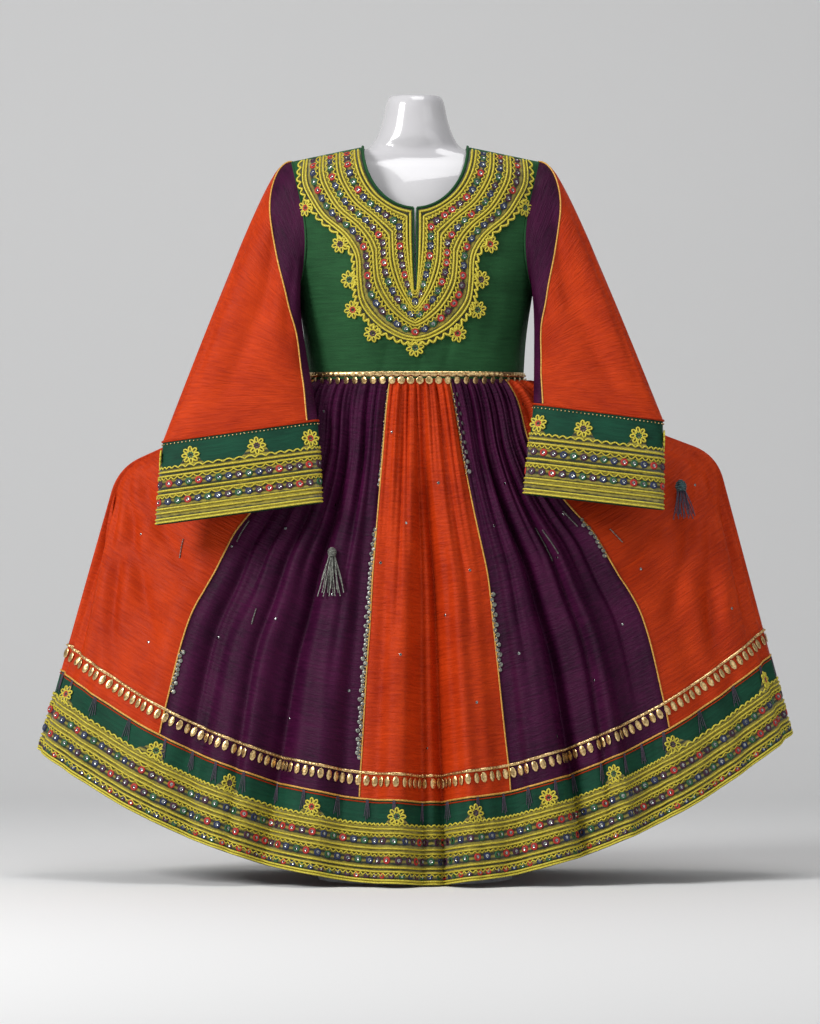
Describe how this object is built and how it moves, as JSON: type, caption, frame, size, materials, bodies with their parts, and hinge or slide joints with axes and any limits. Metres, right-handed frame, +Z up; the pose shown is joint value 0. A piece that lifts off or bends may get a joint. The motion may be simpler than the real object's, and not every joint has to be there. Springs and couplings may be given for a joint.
{
  "type": "kuchi dress on a dress form",
  "caption": "Long-sleeved dress with embroidered yoke, flared cuffs and a gathered panelled skirt held out at its sides, on a limbless dress form with a round stand",
  "frame": {"origin": "middle of the stand base's underside, on the floor; hem and stand lie evenly about it", "axes": "+Z up, the front faces -Y, +X to the right of a viewer who faces the front"},
  "size_m": [1.1678, 0.4534, 1.21],
  "materials": {
    "dress_form": "smooth white gloss",
    "stand_metal": "satin",
    "bodice_green": "plain weave cotton, slight slub",
    "yoke_embroidery": "couched gold thread with small mirrors",
    "gold_braid": "metallic braid with drop sequins",
    "orange_silk": "crinkled silk with a soft sheen",
    "purple_silk": "crinkled silk with a soft sheen",
    "embroidered_green": "plain cotton with a couched gold band",
    "tassel_beads": "strung glass and metal beads"
  },
  "bodies": {
    "root": {"dress_form": "dress_form", "stand_post": "stand_metal", "stand_base": "stand_metal", "bodice_front": "bodice_green", "bodice_back": "bodice_green", "neck_binding": "bodice_green", "yoke_panel": "yoke_embroidery", "waist_braid": "gold_braid", "skirt_braid_front": "gold_braid", "skirt_braid_back": "gold_braid", "sleeve_outer_left": "orange_silk", "sleeve_outer_right": "orange_silk", "skirt_front_centre": "orange_silk", "skirt_back_centre": "orange_silk", "skirt_side_front_left": "orange_silk", "skirt_side_front_right": "orange_silk", "skirt_side_back_left": "orange_silk", "skirt_side_back_right": "orange_silk", "sleeve_inner_left": "purple_silk", "sleeve_inner_right": "purple_silk", "skirt_front_left": "purple_silk", "skirt_front_right": "purple_silk", "skirt_back_left": "purple_silk", "skirt_back_right": "purple_silk", "cuff_left": "embroidered_green", "cuff_right": "embroidered_green", "hem_band_front": "embroidered_green", "hem_band_back": "embroidered_green", "tassel_front_left": "tassel_beads", "tassel_front_right": "tassel_beads", "tassel_back_left": "tassel_beads", "tassel_back_right": "tassel_beads"}
  },
  "joints": []
}
